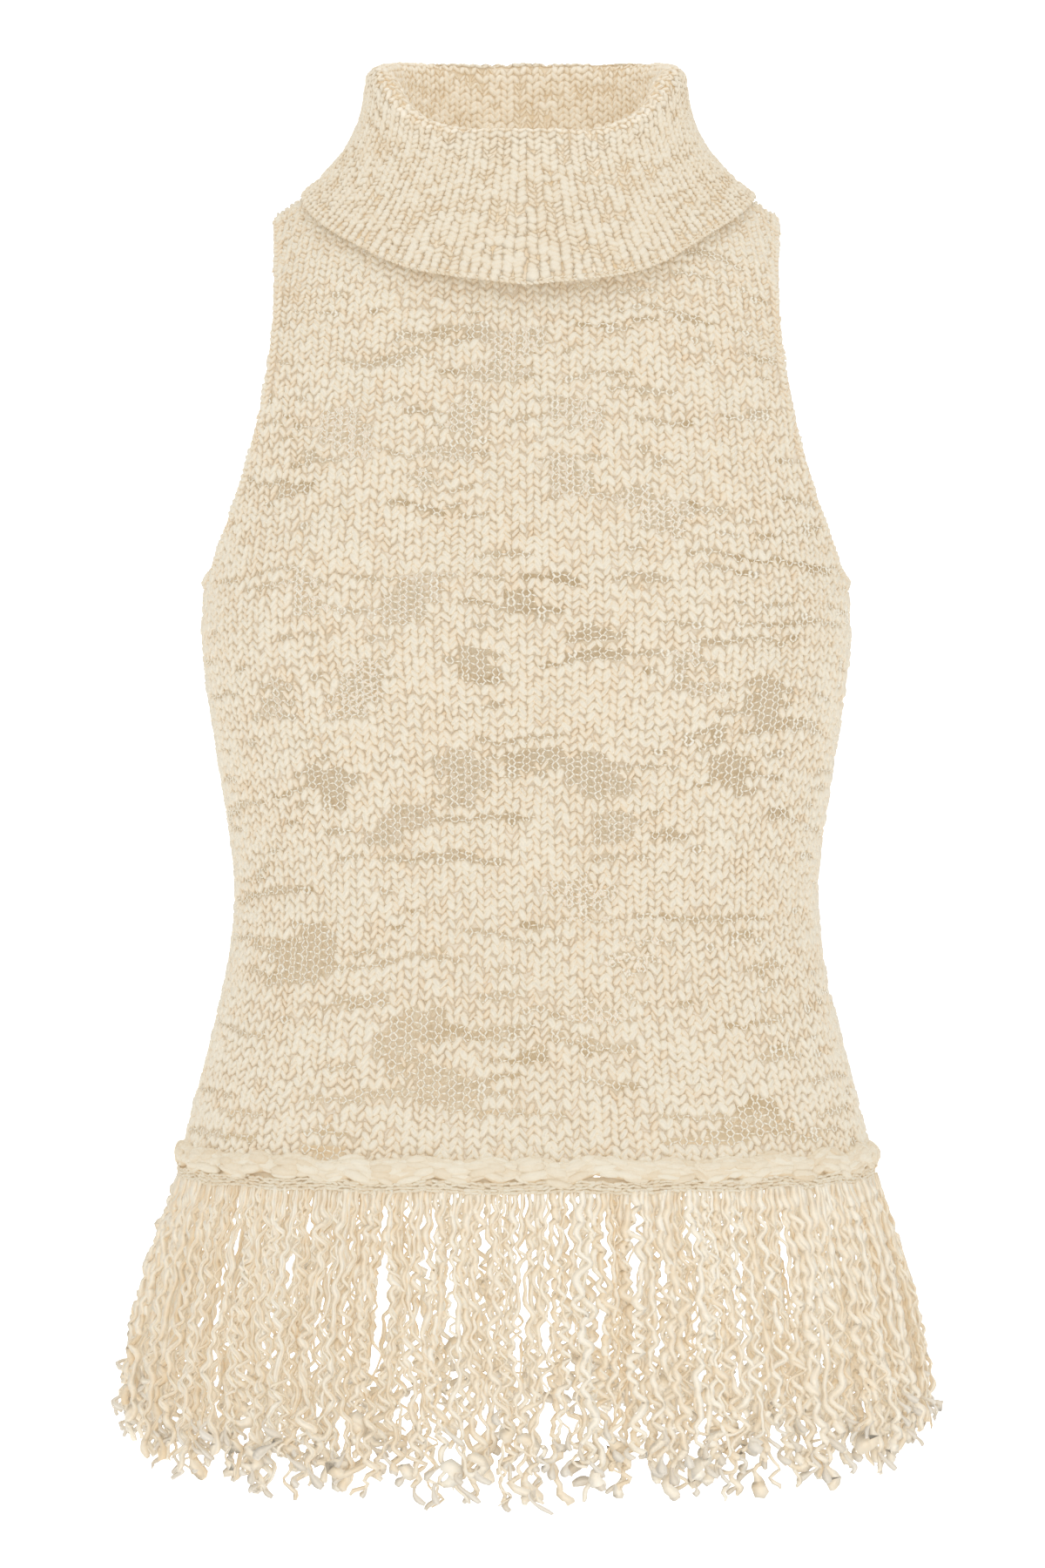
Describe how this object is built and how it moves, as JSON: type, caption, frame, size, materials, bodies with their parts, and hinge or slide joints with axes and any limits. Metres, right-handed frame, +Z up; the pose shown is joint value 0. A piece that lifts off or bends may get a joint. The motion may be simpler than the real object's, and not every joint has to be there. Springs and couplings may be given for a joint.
{
  "type": "sleeveless roll-neck fringe knit top",
  "caption": "Sleeveless roll-neck top in slub knit, filled out as worn, with a rolled hem and a deep curly yarn fringe.",
  "frame": {"origin": "midway between the shoulders, at the height where the cloth rests on them at the base of the neck", "axes": "+Z up along the body, -Y out of the front, +X to the wearer's left"},
  "size_m": [0.4038, 0.284, 0.7007],
  "materials": {
    "body_knit": "matt ecru slub rib knit with thin net patches",
    "collar_knit": "matt ecru slub rib knit, denser than the body",
    "trim_knit": "narrow matt self band with a line of stitches",
    "hem_knit": "matt lumpy rolled knit",
    "fringe_yarn": "crimped unravelled yarn with fluffy ends"
  },
  "bodies": {
    "root": {"front_panel": "body_knit", "back_panel": "body_knit", "roll_collar": "collar_knit", "armhole_trim_left": "trim_knit", "armhole_trim_right": "trim_knit", "hem_roll": "hem_knit", "fringe_front": "fringe_yarn", "fringe_back": "fringe_yarn"}
  },
  "joints": []
}
